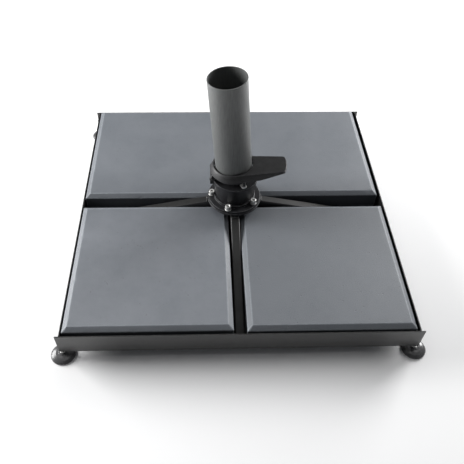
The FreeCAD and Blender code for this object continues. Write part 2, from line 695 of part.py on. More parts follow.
def make_pedal():
    """Flared collar round the mast with a paddle to +X and two hinge ears below at -X."""
    body = new_body("pedal")
    collar = sketch(body, "collar_profile", "XZ")
    bottom, top = ref("pedal_bottom"), ref("pedal_top")
    radius, bore = ref("pedal_radius"), ref("pedal_bore")
    skirt_low, skirt_in, skirt_out = ref("skirt_bottom"), ref("skirt_bore"), ref("skirt_radius")
    polygon(collar, [
        (skirt_in, skirt_low), (skirt_out, skirt_low), (skirt_out, bottom), (radius, bottom),
        (radius, bottom + " + 3"), (radius + " - 1", bottom + " + 5"),
        (radius + " - 3.5", bottom + " + 11"), (radius + " - 7", top + " - 4"),
        (ref("pedal_top_radius"), top), (bore, top), (bore, bottom + " + 12"), (skirt_in, bottom)])
    revolve(body, collar)
    lower = sketch(body, "paddle_lower", "XY", bottom)
    polygon(lower, [("%g" % x, "%g" % y) for x, y in PADDLE_LOWER])
    upper = sketch(body, "paddle_upper", "XY", top)
    polygon(upper, [("%g" % x, "%g" % y) for x, y in PADDLE_UPPER])
    loft(body, lower, upper)
    bore_cut = sketch(body, "collar_bore", "XY")
    circle(bore_cut, bore)
    pocket(body, bore_cut)
    # the underside rises towards the tip
    under = sketch(body, "paddle_under", "XZ")
    start = ref("paddle_slope_start")
    polygon(under, [(start, bottom + " - 1"), ("190", bottom + " - 1"), ("190", top + " - 3.5"),
                    ("145", top + " - 6.5"), (start, bottom)])
    pocket(body, under, "400", both=True)
    # the skirt is open at the turret's lug and at the spring
    for name, near, far, half in (("lug", "-75", "-50", "25"), ("spring", "50", "75", "9")):
        gap = sketch(body, "skirt_gap_" + name, "XY", skirt_low + " - 1")
        rectangle(gap, near, far, "-" + half, half)
        pocket(body, gap, "%s - %s + 1" % (bottom, skirt_low), reverse=True)
    for name, low, high in (("front", ref("ear_inner"), ref("ear_outer")),
                            ("rear", "-" + ref("ear_outer"), "-" + ref("ear_inner"))):
        # a sketch on XZ is lifted towards -Y, and padded the same way
        ear = sketch(body, "ear_" + name, "XZ", low)
        ear_outline(ear, size["knuckle_" + name])
        pad(body, ear, "%s - (%s)" % (high, low))
    stub = sketch(body, "push_stub", "XY", ref("stub_bottom"))
    circle(stub, "4", ref("stub_x"), ref("stub_y"))
    pad(body, stub, bottom + " + 2 - " + ref("stub_bottom"))
    hole = sketch(body, "ear_hole", "XZ")
    x, z = pivot_in_pedal()
    circle(hole, ref("pin_radius") + " + 0.06", "%.6f" % x, "%.6f" % z)
    pocket(body, hole)
    lean(body)
    nodes.append(body)


def pivot_in_pedal():
    """The pin axis in the pedal's own leaning frame."""
    angle = math.radians(size["mast_lean"])
    x = size["pivot_x"]
    z = size["pivot_z"] - size["lean_height"]
    return x * math.cos(angle) + z * math.sin(angle), -x * math.sin(angle) + z * math.cos(angle)


def ear_outline(item, reach):
    x, z = pivot_in_pedal()
    top = size["pedal_bottom"] + 2
    corners = [(x + 1.5, top), (x + reach, top)]
    for step in range(9):
        angle = math.radians(-180.0 * step / 8)
        corners.append((x + reach * math.cos(angle), z + reach * math.sin(angle)))
    polygon(item, [("%.6f" % a, "%.6f" % b) for a, b in corners])


def make_pedal_pin():
    body = new_body("pedal_pin")
    profile = sketch(body, "pin_section", "XZ")
    circle(profile, ref("pin_radius"), ref("pivot_x"), ref("pivot_z"))
    solid = pad(body, profile, "2 * " + ref("pin_half"))
    solid.Midplane = True
    doc.recompute()
    nodes.append(body)


def make_pin_clips():
    """Two clips that keep the pin from sliding out of the ears."""
    clip = Part.makeCylinder(6.5, 1.2, V(), Y_AXIS)
    clip = clip.cut(Part.makeCylinder(size["pin_radius"], 4, V(0, -1, 0), Y_AXIS))
    solids = []
    for start in (size["ear_outer"] + 0.5, -size["ear_outer"] - 1.7):
        piece = clip.copy()
        piece.Placement = FreeCAD.Placement(V(size["pivot_x"], start, size["pivot_z"]),
                                            FreeCAD.Rotation())
        solids.append(piece)
    nodes.append(group("pin_clips", solids))


def make_pedal_spring():
    """Compression spring between the turret's ledge and the collar."""
    height = size["spring_height"] - 2 * size["spring_wire"]
    helix = Part.makeHelix(height / size["spring_turns"], height, size["spring_radius"])
    start = V(size["spring_radius"], 0, 0)
    section = Part.Wire([Part.Edge(Part.Circle(start, Y_AXIS, size["spring_wire"]))])
    coil = Part.Wire(helix).makePipeShell([section], True, True)
    coil.Placement = FreeCAD.Placement(
        V(size["spring_x"], 0, size["turret_top"] + size["spring_wire"]), FreeCAD.Rotation())
    item = doc.addObject("Part::Feature", "pedal_spring")
    item.Label = "pedal_spring"
    item.Shape = Part.makeCompound([coil])
    nodes.append(item)


def make_lock_plunger():
    """Rod with a flat head under the collar and a toe under the retainer's lip."""
    angle = math.degrees(math.atan2(size["plunger_y"], size["plunger_x"]))
    rod_distance = math.hypot(size["plunger_x"], size["plunger_y"])
    body = new_body("lock_plunger")
    rod = sketch(body, "plunger_rod", "XY", ref("plunger_bottom"))
    circle(rod, ref("plunger_radius"), "%.6f" % rod_distance, "0")
    pad(body, rod, ref("plunger_head_top") + " - " + ref("plunger_bottom"))
    head = sketch(body, "plunger_head", "XY", ref("plunger_head_bottom"))
    rectangle(head, "48", "71", "-7.5", "7.5")
    solid = pad(body, head, ref("plunger_head_top") + " - " + ref("plunger_head_bottom"))
    corners = edges_where(solid, lambda p: abs(p.z - size["plunger_head_top"]) < 1e-3)
    soften(body, solid, corners, 1)
    toe = sketch(body, "plunger_toe", "XY", ref("plunger_bottom"))
    rectangle(toe, "49.2", "60.6", "-6", "6")
    pad(body, toe, ref("turret_flange_top") + " - " + ref("plunger_bottom") + " - 0.4")
    place(body, turn=angle)
    nodes.append(body)


make_pedal()
make_pedal_pin()
make_pin_clips()
make_pedal_spring()
make_lock_plunger()


def make_mast_screws():
    """Button-head screws through the mast into the spigot, on the rear side."""
    shank = Part.makeCylinder(size["mast_screw_radius"], 12, V(), X_AXIS)
    head = Part.makeCylinder(7, size["mast_screw_head"], V(), X_AXIS)
    solids = []
    for turn in SCREW_TURNS:
        angle = FreeCAD.Rotation(Z_AXIS, turn)
        screw = shank.copy()
        screw.translate(V(size["mast_radius"] - 11.8, 0, size["mast_screw_height"]))
        cap = head.copy()
        cap.translate(V(size["mast_radius"], 0, size["mast_screw_height"]))
        piece = screw.fuse(cap).removeSplitter()
        piece.Placement = MAST_FRAME.multiply(FreeCAD.Placement(V(), angle))
        solids.append(piece)
    nodes.append(group("mast_screws", solids))


make_mast_screws()


# ---------------------------------------------------------------- check and write
doc.recompute()
os.makedirs("parts", exist_ok=True)
for node in nodes:
    shape = node.Shape
    bad_state = [s for s in node.State if s in ("Invalid", "Error")]
    if shape.isNull() or not shape.isValid() or bad_state:
        raise RuntimeError("bad node " + node.Label + " " + str(node.State))
    shape.exportStep(os.path.join("parts", node.Label + ".step"))
for item in doc.Objects:
    if "Invalid" in item.State or "Error" in item.State:
        raise RuntimeError("bad object " + item.Label)
print("nodes", len(nodes), "solids", sum(len(node.Shape.Solids) for node in nodes))
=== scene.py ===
import json
import math
import random

import bmesh
import bpy
from mathutils import Matrix, Vector, noise


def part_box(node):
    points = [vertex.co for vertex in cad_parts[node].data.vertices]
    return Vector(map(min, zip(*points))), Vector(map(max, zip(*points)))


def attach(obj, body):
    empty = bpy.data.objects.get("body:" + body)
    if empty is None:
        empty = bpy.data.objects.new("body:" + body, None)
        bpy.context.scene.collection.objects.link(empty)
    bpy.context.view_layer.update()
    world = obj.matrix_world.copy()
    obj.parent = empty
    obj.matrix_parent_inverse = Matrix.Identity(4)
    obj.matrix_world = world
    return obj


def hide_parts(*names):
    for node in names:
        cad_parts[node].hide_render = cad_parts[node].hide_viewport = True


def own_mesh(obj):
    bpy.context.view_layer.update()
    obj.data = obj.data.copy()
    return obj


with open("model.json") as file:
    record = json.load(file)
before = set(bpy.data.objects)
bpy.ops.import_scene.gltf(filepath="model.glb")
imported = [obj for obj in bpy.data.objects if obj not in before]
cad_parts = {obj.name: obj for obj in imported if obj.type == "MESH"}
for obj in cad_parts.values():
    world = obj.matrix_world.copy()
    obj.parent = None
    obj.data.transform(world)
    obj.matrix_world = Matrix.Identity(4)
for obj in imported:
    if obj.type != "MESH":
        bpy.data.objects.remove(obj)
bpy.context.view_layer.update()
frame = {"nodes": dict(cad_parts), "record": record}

# Looks of a parasol base: ballast slabs in a painted steel frame, a bolted hub and a leaning mast.
# Shapes are drawn in millimetres in the row frame and scaled once, in make_piece.

MM = 0.001
SEED = 48
LEAN = math.radians(5)
LEAN_HEIGHT = 210.0
CORNERS = {"front_left": (-1, -1), "front_right": (1, -1), "rear_left": (-1, 1), "rear_right": (1, 1)}
SIDE_TURNS = {"right": 0, "rear": 90, "left": 180, "front": 270}
FOOT_X, FOOT_Y = 506, 491
SCREW_CIRCLE = 73
PIN_PLACE = (-73, 0, 249)
PLUNGER_X, PLUNGER_Y = 20, -50
PLUNGER_DISTANCE = math.hypot(PLUNGER_X, PLUNGER_Y)


def box_mm(node):
    """Lowest and highest corner of a CAD node in millimetres."""
    low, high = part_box(node)
    return low / MM, high / MM


# ---------------------------------------------------------------- camera and lights
CAMERA_PLACE = (-0.102, -1.2894, 1.4353)
CAMERA_RIGHT = (0.99955, -0.02636, 0.01451)
CAMERA_UP = (0.01024, 0.75155, 0.65959)
CAMERA_LENS = 43.11


def make_camera():
    """Camera in front of the base, above it and a little to the left."""
    data = bpy.data.cameras.new("camera")
    data.lens = CAMERA_LENS
    data.sensor_width = 36
    data.shift_x = 0.0279
    camera = bpy.data.objects.new("camera", data)
    right = Vector(CAMERA_RIGHT).normalized()
    up = Vector(CAMERA_UP)
    up = (up - right * up.dot(right)).normalized()
    back = right.cross(up)
    turn = Matrix((right, up, back)).transposed().to_4x4()
    camera.matrix_world = Matrix.Translation(CAMERA_PLACE) @ turn
    bpy.context.scene.collection.objects.link(camera)
    bpy.context.scene.camera = camera


# name, place, point it looks at, width, height, watts
LIGHTS = [
    ("soft_left", (-2.5, 0.4, 1.1), (0, 0, 0.25), 1.5, 1.3, 116),
    ("soft_right", (2.35, 1.65, 1.2), (0, 0, 0.25), 1.4, 1.3, 110),
    ("soft_top", (0.0, 1.2, 4.2), (0, 0, 0), 5.6, 4.4, 82),
]


def make_lights():
    """Dim even surroundings with two low side lights and one large overhead light."""
    world = bpy.data.worlds.new("studio")
    bpy.context.scene.world = world
    world.use_nodes = True
    background = world.node_tree.nodes["Background"]
    background.inputs["Color"].default_value = (0.93, 0.95, 1.0, 1)
    background.inputs["Strength"].default_value = 0.10
    for name, place, target, width, height, power in LIGHTS:
        data = bpy.data.lights.new(name, "AREA")
        data.shape = "RECTANGLE"
        data.size = width
        data.size_y = height
        data.energy = power
        light = bpy.data.objects.new(name, data)
        light.location = place
        aim = Vector(target) - Vector(place)
        light.rotation_euler = aim.to_track_quat("-Z", "Y").to_euler()
        bpy.context.scene.collection.objects.link(light)


def make_floor():
    """Plain pale floor under the feet."""
    bpy.ops.mesh.primitive_plane_add(size=14, location=(0, 0, 0))
    floor = bpy.context.object
    floor.name = "floor"
    material = bpy.data.materials.new("floor")
    material.use_nodes = True
    shader = material.node_tree.nodes["Principled BSDF"]
    shader.inputs["Base Color"].default_value = (0.93, 0.93, 0.93, 1)
    shader.inputs["Roughness"].default_value = 0.9
    floor.data.materials.append(material)


# ---------------------------------------------------------------- materials
class Nodes:
    """Short spellings for building one material's nodes."""

    def __init__(self, name):
        self.material = bpy.data.materials.new(name)
        self.material.use_nodes = True
        self.tree = self.material.node_tree
        self.shader = self.tree.nodes["Principled BSDF"]
        coordinates = self.tree.nodes.new("ShaderNodeTexCoord")
        self.place = coordinates.outputs["Object"]

    def link(self, start, end):
        self.tree.links.new(start, end)

    def stretched(self, scale):
        """Object coordinates scaled unevenly."""
        node = self.tree.nodes.new("ShaderNodeMapping")
        node.inputs["Scale"].default_value = scale
        self.link(self.place, node.inputs["Vector"])
        return node.outputs["Vector"]

    def noise(self, scale, detail=4.0, rough=0.55, vector=None, distortion=0.0):
        node = self.tree.nodes.new("ShaderNodeTexNoise")
        node.inputs["Scale"].default_value = scale
        node.inputs["Detail"].default_value = detail
        node.inputs["Roughness"].default_value = rough
        node.inputs["Distortion"].default_value = distortion
        self.link(vector or self.place, node.inputs["Vector"])
        return node.outputs["Fac"]

    def cells(self, scale):
        """Distance to the nearest of many scattered points."""
        node = self.tree.nodes.new("ShaderNodeTexVoronoi")
        node.inputs["Scale"].default_value = scale
        self.link(self.place, node.inputs["Vector"])
        return node.outputs["Distance"]

    def attribute(self, name):
        """A number stored on the piece's own vertices."""
        node = self.tree.nodes.new("ShaderNodeAttribute")
        node.attribute_name = name
        return node.outputs["Fac"]

    def gap_closeness(self):
        """One beside the left-to-right gap between the slabs, fading to zero away from it."""
        split = self.tree.nodes.new("ShaderNodeSeparateXYZ")
        self.link(self.place, split.inputs["Vector"])
        distance = self.math("ABSOLUTE", split.outputs["Y"], 0.0)
        return self.between(distance, 0.025, 0.15, 1.0, 0.0)

    def between(self, value, low, high, out_low=0.0, out_high=1.0):
        """Value moved from one range to another, clamped."""
        node = self.tree.nodes.new("ShaderNodeMapRange")
        self.link(value, node.inputs["Value"])
        for socket, number in zip(("From Min", "From Max", "To Min", "To Max"),
                                  (low, high, out_low, out_high)):
            node.inputs[socket].default_value = number
        return node.outputs["Result"]

    def math(self, operation, first, second):
        node = self.tree.nodes.new("ShaderNodeMath")
        node.operation = operation
        for index, value in enumerate((first, second)):
            if isinstance(value, float):
                node.inputs[index].default_value = value
            else:
                self.link(value, node.inputs[index])
        return node.outputs["Value"]

    def mix(self, factor, first, second):
        """Colour mix; either colour may be a socket or three numbers."""
        node = self.tree.nodes.new("ShaderNodeMix")
        node.data_type = "RGBA"
        self.link(factor, node.inputs["Factor"])
        colour_inputs = [s for s in node.inputs if s.type == "RGBA"]
        for socket, value in zip(colour_inputs, (first, second)):
            if isinstance(value, tuple):
                socket.default_value = (*value, 1)
            else:
                self.link(value, socket)
        return [s for s in node.outputs if s.type == "RGBA"][0]

    def edges(self, radius, low=0.02, high=0.25):
        """One on sharp outer edges and inner corners, fading to zero on flat faces."""
        bevel = self.tree.nodes.new("ShaderNodeBevel")
        bevel.samples = 4
        bevel.inputs["Radius"].default_value = radius
        geometry = self.tree.nodes.new("ShaderNodeNewGeometry")
        difference = self.tree.nodes.new("ShaderNodeVectorMath")
        difference.operation = "DISTANCE"
        self.link(bevel.outputs["Normal"], difference.inputs[0])
        self.link(geometry.outputs["Normal"], difference.inputs[1])
        return self.between(difference.outputs["Value"], low, high)

    def facing_up(self, low=0.3, high=1.0):
        """One on level top faces, fading to zero on steep ones."""
        geometry = self.tree.nodes.new("ShaderNodeNewGeometry")
        split = self.tree.nodes.new("ShaderNodeSeparateXYZ")
        self.link(geometry.outputs["Normal"], split.inputs["Vector"])
        return self.between(split.outputs["Z"], low, high)

    def bump(self, *layers):
        """Bumps laid over each other; each is (height socket, distance in metres)."""
        normal = None
        for height, distance in layers:
            node = self.tree.nodes.new("ShaderNodeBump")
            node.inputs["Distance"].default_value = distance
            self.link(height, node.inputs["Height"])
            if normal is not None:
                self.link(normal, node.inputs["Normal"])
            normal = node.outputs["Normal"]
        self.link(normal, self.shader.inputs["Normal"])

    def finish(self, colour, roughness, **constants):
        self.link(colour, self.shader.inputs["Base Color"])
        self.link(roughness, self.shader.inputs["Roughness"])
        for name, value in constants.items():
            self.shader.inputs[name.replace("_", " ").title()].default_value = value
        return self.material


def concrete_material():
    """Smooth cast concrete: cloudy grey with fine sand and pinholes, paler edges that are partly wear and
    partly painted highlight, and painted shade on the side faces and beside the gap.
    """
    n = Nodes("concrete")
    clouds = n.between(n.noise(7.0, 5.0, 0.6, distortion=0.4), 0.32, 0.68)
    blotches = n.between(n.noise(38.0, 4.0, 0.6), 0.35, 0.65)
    sand = n.between(n.noise(900.0, 2.0, 0.7), 0.3, 0.7)
    colour = n.mix(clouds, (0.143, 0.156, 0.174), (0.170, 0.182, 0.201))
    colour = n.mix(n.math("MULTIPLY", blotches, 0.3), colour, (0.190, 0.202, 0.220))
    colour = n.mix(n.math("MULTIPLY", sand, 0.2), colour, (0.110, 0.118, 0.132))
    # each slab is drawn darker by its own listed amount
    colour = n.mix(n.math("MULTIPLY", n.attribute("slab_darkness"), 0.45), colour, (0.080, 0.090, 0.100))
    # painted shade: the concrete is drawn darker beside the left-to-right gap
    painted_gap_shade = n.math("MULTIPLY", n.gap_closeness(), n.between(n.noise(16.0, 3.0), 0.3, 0.7, 0.40, 0.60))
    colour = n.mix(painted_gap_shade, colour, (0.080, 0.088, 0.100))
    # painted shade: steep side faces of the concrete are drawn darker
    sides = n.math("SUBTRACT", 1.0, n.facing_up(0.05, 0.6))
    colour = n.mix(n.math("MULTIPLY", sides, 0.85), colour, (0.062, 0.067, 0.075))
    pit_cells = n.cells(85.0)
    pit_mask = n.between(n.noise(24.0, 2.0, 0.5), 0.52, 0.62)
    pits = n.math("MULTIPLY", n.between(pit_cells, 0.10, 0.17, 1.0, 0.0), pit_mask)
    colour = n.mix(n.math("MULTIPLY", pits, 0.75), colour, (0.085, 0.088, 0.095))
    # paler edges: partly wear, partly a painted highlight along the arrises
    wear_and_highlight = n.math("MULTIPLY", n.edges(0.0035), n.between(n.noise(120.0, 3.0), 0.25, 0.55, 0.5, 1.0))
    colour = n.mix(n.math("MULTIPLY", wear_and_highlight, 0.95), colour, (0.42, 0.45, 0.48))
    n.bump((n.noise(260.0, 4.0, 0.65), 0.0004), (sand, 0.00012), (n.math("SUBTRACT", 1.0, pits), 0.0007))
    return n.finish(colour, n.between(clouds, 0.0, 1.0, 0.46, 0.60))


def painted_material(name, dark, light, gloss, grain=0.00008, dust=0.25, wear_and_highlight=(0.30, 0.29, 0.28),
                     wear_and_highlight_amount=0.5, metallic=0.0, shine=0.5):
    """Powder coat: fine orange peel, slight tone drift, duller dusty top faces, and paler edges that are
    partly rubbed paint and partly painted highlight.
    """
    n = Nodes(name)
    drift = n.between(n.noise(9.0, 4.0, 0.6), 0.3, 0.7)
    colour = n.mix(drift, dark, light)
    specks = n.between(n.noise(420.0, 3.0, 0.7), 0.62, 0.78)
    settled = n.math("MULTIPLY", n.facing_up(), n.between(n.noise(45.0, 5.0, 0.65), 0.38, 0.72))
    settled = n.math("MULTIPLY", settled, dust)
    colour = n.mix(settled, colour, (0.25, 0.25, 0.24))
    colour = n.mix(n.math("MULTIPLY", specks, 0.12), colour, wear_and_highlight)
    # paler edges: partly rubbed paint, partly a painted highlight
    rubbed_and_highlit = n.math("MULTIPLY", n.edges(0.0012), n.between(n.noise(160.0, 4.0, 0.6), 0.42, 0.66))
    colour = n.mix(n.math("MULTIPLY", rubbed_and_highlit, wear_and_highlight_amount), colour, wear_and_highlight)
    n.bump((n.noise(700.0, 2.0, 0.5), grain), (n.noise(60.0, 3.0, 0.5), grain * 2))
    rough = n.between(n.noise(30.0, 4.0, 0.6), 0.3, 0.7, gloss - 0.05, gloss + 0.07)
    rough = n.math("ADD", rough, n.math("MULTIPLY", n.facing_up(), 0.10))
    sheen = n.between(n.facing_up(), 0.0, 1.0, shine, 0.22)
    n.link(sheen, n.shader.inputs["Specular IOR Level"])
    return n.finish(colour, rough, metallic=metallic)


def metal_material(name, dark, light, gloss, stretch=(1, 1, 1), scratches=0.00004, metallic=1.0):
    """Plated or turned metal with fine directional marks and dull patches."""
    n = Nodes(name)
    patches = n.between(n.noise(60.0, 4.0, 0.65), 0.3, 0.7)
    colour = n.mix(patches, dark, light)
    grime = n.math("MULTIPLY", n.edges(0.001), n.between(n.noise(220.0, 3.0), 0.4, 0.7))
    colour = n.mix(n.math("MULTIPLY", grime, 0.45), colour, tuple(0.45 * c for c in dark))
    marks = n.noise(900.0, 2.0, 0.6, vector=n.stretched(stretch))
    n.bump((marks, scratches), (n.noise(150.0, 3.0, 0.5), 0.00005))
    return n.finish(colour, n.between(patches, 0.0, 1.0, gloss + 0.1, gloss), metallic=metallic)


def mast_material():
    """Metallic grey lacquer with a fine flake and faint drawing marks along the tube."""
    n = Nodes("mast_lacquer")
    streaks = n.noise(50.0, 3.0, 0.6, vector=n.stretched((14, 14, 0.5)))
    flake = n.between(n.noise(2600.0, 1.0, 0.5), 0.3, 0.7)
    colour = n.mix(n.between(streaks, 0.3, 0.7), (0.078, 0.082, 0.081), (0.134, 0.138, 0.136))
    colour = n.mix(n.math("MULTIPLY", flake, 0.3), colour, (0.26, 0.265, 0.26))
    scuffs = n.between(n.noise(75.0, 5.0, 0.7), 0.66, 0.78)
    colour = n.mix(n.math("MULTIPLY", scuffs, 0.25), colour, (0.11, 0.11, 0.11))
    n.bump((streaks, 0.00006), (flake, 0.00002))
    rough = n.between(n.noise(22.0, 4.0, 0.6), 0.3, 0.7, 0.36, 0.44)
    return n.finish(colour, rough, metallic=0.15)


def plastic_material(name, dark, light, gloss):
    """Moulded plastic: near even colour, faint flow marks, scuffs that dull the gloss."""
    n = Nodes(name)
    flow = n.between(n.noise(35.0, 3.0, 0.5, distortion=1.0), 0.3, 0.7)
    colour = n.mix(flow, dark, light)
    scuffs = n.between(n.noise(140.0, 5.0, 0.7), 0.58, 0.75)
    colour = n.mix(n.math("MULTIPLY", scuffs, 0.3), colour, (0.09, 0.09, 0.09))
    n.bump((n.noise(300.0, 2.0, 0.5), 0.00003), (scuffs, 0.00004))
    return n.finish(colour, n.between(scuffs, 0.0, 1.0, gloss, gloss + 0.3))


MATERIALS = {
    "frame_paint": painted_material("frame_paint", (0.012, 0.012, 0.012), (0.018, 0.018, 0.018), 0.33,
                                    dust=0.02, wear_and_highlight=(0.20, 0.20, 0.20), shine=0.95),
    "slab_concrete": concrete_material(),
    "zinc": metal_material("zinc", (0.62, 0.62, 0.61), (0.82, 0.82, 0.80), 0.26, metallic=0.55),
    "cast_black": painted_material("cast_black", (0.014, 0.014, 0.016), (0.020, 0.020, 0.022), 0.36,
                                   grain=0.00022, dust=0.02, wear_and_highlight=(0.28, 0.29, 0.30), wear_and_highlight_amount=0.75),
    "pedal_black": painted_material("pedal_black", (0.016, 0.016, 0.017), (0.022, 0.022, 0.023), 0.44,
                                    grain=0.0001, dust=0.04, wear_and_highlight=(0.24, 0.25, 0.26), wear_and_highlight_amount=0.6),
    "mast_paint": mast_material(),
    "pin_black": painted_material("pin_black", (0.016, 0.016, 0.017), (0.024, 0.024, 0.025), 0.36,
                                  dust=0.05, wear_and_highlight=(0.14, 0.14, 0.14), wear_and_highlight_amount=0.5),
    "bare_steel": metal_material("bare_steel", (0.36, 0.36, 0.36), (0.48, 0.48, 0.48), 0.26, (1, 1, 12)),
    "bush_brass": metal_material("bush_brass", (0.50, 0.36, 0.16), (0.62, 0.46, 0.22), 0.28, (1, 1, 12)),
    "glide_plastic": plastic_material("glide_plastic", (0.62, 0.60, 0.55), (0.70, 0.68, 0.63), 0.4),
    # foot pads: black plastic drawn as a lighter grey, which paints in their glossy reflections
    "foot_plastic": plastic_material("foot_plastic", (0.068, 0.068, 0.070), (0.084, 0.084, 0.086), 0.24),
}


# ---------------------------------------------------------------- mesh helpers
def make_piece(name, bm, slot, body, stands_for=(), sharp=35):
    """Turns a bmesh in millimetres into a finished piece on a body."""
    bmesh.ops.remove_doubles(bm, verts=bm.verts, dist=1e-4)
    bmesh.ops.recalc_face_normals(bm, faces=bm.faces)
    bmesh.ops.scale(bm, vec=(MM, MM, MM), verts=bm.verts)
    mesh = bpy.data.meshes.new(name)
    bm.to_mesh(mesh)
    bm.free()
    mesh.shade_smooth()
    mesh.set_sharp_from_angle(angle=math.radians(sharp))
    mesh.materials.append(MATERIALS[slot])
    piece = bpy.data.objects.new(name, mesh)
    bpy.context.scene.collection.objects.link(piece)
    normals = piece.modifiers.new("normals", "WEIGHTED_NORMAL")
    normals.keep_sharp = True
    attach(piece, body)
    if stands_for:
        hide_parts(*stands_for)
    return piece


def rounded(points, radius, steps=4):
    """A closed outline with its corners rounded; radius is one number or one per corner."""
    result = []
    count = len(points)
    for index, point in enumerate(points):
        corner = Vector(point)
        wanted = radius[index] if isinstance(radius, (list, tuple)) else radius
        before = Vector(points[index - 1]) - corner
        after = Vector(points[(index + 1) % count]) - corner
        if wanted <= 0:
            result.append(corner)
            continue
        half = before.angle(after) / 2
        reach = min(wanted / math.tan(half), before.length * 0.49, after.length * 0.49)
        start = corner + before.normalized() * reach
        end = corner + after.normalized() * reach
        for step in range(steps + 1):
            t = step / steps
            result.append((1 - t) ** 2 * start + 2 * t * (1 - t) * corner + t * t * end)
    return result


def join_rings(bm, rings, closed_across=True):
    """Quads between neighbouring rings of vertices; each ring is closed on itself."""
    for first, second in zip(rings, rings[1:] + rings[:1] if closed_across else rings[1:]):
        count = len(first)
        for index in range(count):
            after = (index + 1) % count
            bm.faces.new((first[index], first[after], second[after], second[index]))


def lathe(bm, profile, segments=144, place=None):
    """A closed (radius, z) outline turned about Z."""
    rings = []
    for radius, z in profile:
        ring = []
        for index in range(segments):
            angle = 2 * math.pi * index / segments
            ring.append(bm.verts.new((radius * math.cos(angle), radius * math.sin(angle), z)))
        rings.append(ring)
    join_rings(bm, rings)
    return put(bm, [vert for ring in rings for vert in ring], place)


def put(bm, verts, place):
    """Moves new vertices by a matrix."""
    if place is not None:
        bmesh.ops.transform(bm, matrix=place, verts=verts)
    return verts


def prism(bm, outline, low, high, soft=0.0, place=None, segments=3):
    """An outline extruded along Z, with rounded top and bottom edges."""
    bottom = [bm.verts.new((x, y, low)) for x, y in outline]
    top = [bm.verts.new((x, y, high)) for x, y in outline]
    caps = [bm.faces.new(bottom[::-1]), bm.faces.new(top)]
    count = len(outline)
    for index in range(count):
        after = (index + 1) % count
        bm.faces.new((bottom[index], bottom[after], top[after], top[index]))
    verts = bottom + top
    if soft > 0:
        rims = [edge for face in caps for edge in face.edges]
        made = bmesh.ops.bevel(bm, geom=rims, offset=soft, segments=segments, profile=0.5,
                               affect="EDGES", clamp_overlap=True)
        verts = list({v for v in verts if v.is_valid} | set(made["verts"]))
    return put(bm, verts, place)


def block(bm, low, high, soft=1.0, place=None, segments=3):
    """A box with all its edges rounded."""
    made = bmesh.ops.create_cube(bm, size=1)["verts"]
    low, high = Vector(low), Vector(high)
    middle, side = (low + high) / 2, high - low
    for vert in made:
        vert.co = Vector((vert.co.x * side.x, vert.co.y * side.y, vert.co.z * side.z)) + middle
    edges = list({edge for vert in made for edge in vert.link_edges})
    result = bmesh.ops.bevel(bm, geom=edges, offset=soft, segments=segments, profile=0.5,
                             affect="EDGES", clamp_overlap=True)
    return put(bm, list({v for v in made if v.is_valid} | set(result["verts"])), place)


def tube_along(bm, points, radius_at, sides=10):
    """A round bar through points; radius_at gives its radius at each point's index."""
    rings = []
    for index, point in enumerate(points):
        before = points[max(index - 1, 0)]
        after = points[min(index + 1, len(points) - 1)]
        turn = (after - before).to_track_quat("Z", "Y").to_matrix()
        radius = radius_at(index)
        rings.append([bm.verts.new(point + turn @ Vector((
            radius * math.cos(2 * math.pi * k / sides), radius * math.sin(2 * math.pi * k / sides), 0)))
            for k in range(sides)])
    join_rings(bm, rings, closed_across=False)
    bm.faces.new(rings[0][::-1])
    bm.faces.new(rings[-1])


def weld(bm, start, end, radius, rng, step=1.1):
    """A weld bead between two points, with the ripples of its overlapping puddles."""
    start, end = Vector(start), Vector(end)
    count = max(6, int((end - start).length / step))
    points = []
    for index in range(count + 1):
        wander = Vector([rng.uniform(-0.18, 0.18) * radius for _ in range(3)])
        points.append(start.lerp(end, index / count) + wander)

    def radius_at(index):
        taper = min(1.0, 0.45 + index * 0.25, 0.45 + (count - index) * 0.25)
        return radius * taper * (1 + 0.13 * math.sin(index * 2.1))

    tube_along(bm, points, radius_at)


def turned(angle):
    """A turn about the vertical, in degrees."""
    return Matrix.Rotation(math.radians(angle), 4, "Z")


def mast_frame():
    """The leaning mast axis, in millimetres."""
    return Matrix.Translation((0, 0, LEAN_HEIGHT)) @ Matrix.Rotation(-LEAN, 4, "Y")


def cut(piece, cutter_bm):
    """Takes a bmesh in millimetres away from a piece."""
    bmesh.ops.recalc_face_normals(cutter_bm, faces=cutter_bm.faces)
    bmesh.ops.scale(cutter_bm, vec=(MM, MM, MM), verts=cutter_bm.verts)
    mesh = bpy.data.meshes.new("cutter")
    cutter_bm.to_mesh(mesh)
    cutter_bm.free()
    cutter = bpy.data.objects.new("cutter", mesh)
    bpy.context.scene.collection.objects.link(cutter)
    modifier = piece.modifiers.new("cut", "BOOLEAN")
    modifier.operation = "DIFFERENCE"
    modifier.solver = "EXACT"
    modifier.object = cutter
    piece.modifiers.move(len(piece.modifiers) - 1, 0)
    bpy.context.view_layer.update()
    evaluated = piece.evaluated_get(bpy.context.evaluated_depsgraph_get())
    result = bpy.data.meshes.new_from_object(evaluated)
    piece.modifiers.clear()
    piece.data = result
    result.set_sharp_from_angle(angle=math.radians(35))
    bpy.data.objects.remove(cutter)


# ---------------------------------------------------------------- slabs
BEVEL_WIDTH, BEVEL_DROP = 14.0, 10.0
# how dark each slab is, from 0 to 1
SLAB_DARKNESS = {"front_left": 0.0, "front_right": 0.95, "rear_left": 0.60, "rear_right": 0.60}
SLAB_CELL = 7.0
SLAB_EDGE_LINES = (0.0, 0.7, 1.5, 2.6, 5.0, 8.0, 10.6, 12.4, 13.5, 14.6, 16.2, 19.5, 24.0, 30.0)


def slab_lines(side):
    """Grid positions along one side: close together at the bevels, even in the middle."""
    inner = side - 2 * SLAB_EDGE_LINES[-1]
    count = round(inner / SLAB_CELL)
    middle = [SLAB_EDGE_LINES[-1] + inner * k / count for k in range(1, count)]
    return list(SLAB_EDGE_LINES) + middle + [side - line for line in reversed(SLAB_EDGE_LINES)]


def soft_minimum(values, softness):
    """Least of some values, with the switch between them rounded off."""
    least = min(values)
    return least - softness * math.log(sum(math.exp((least - v) / softness) for v in values))


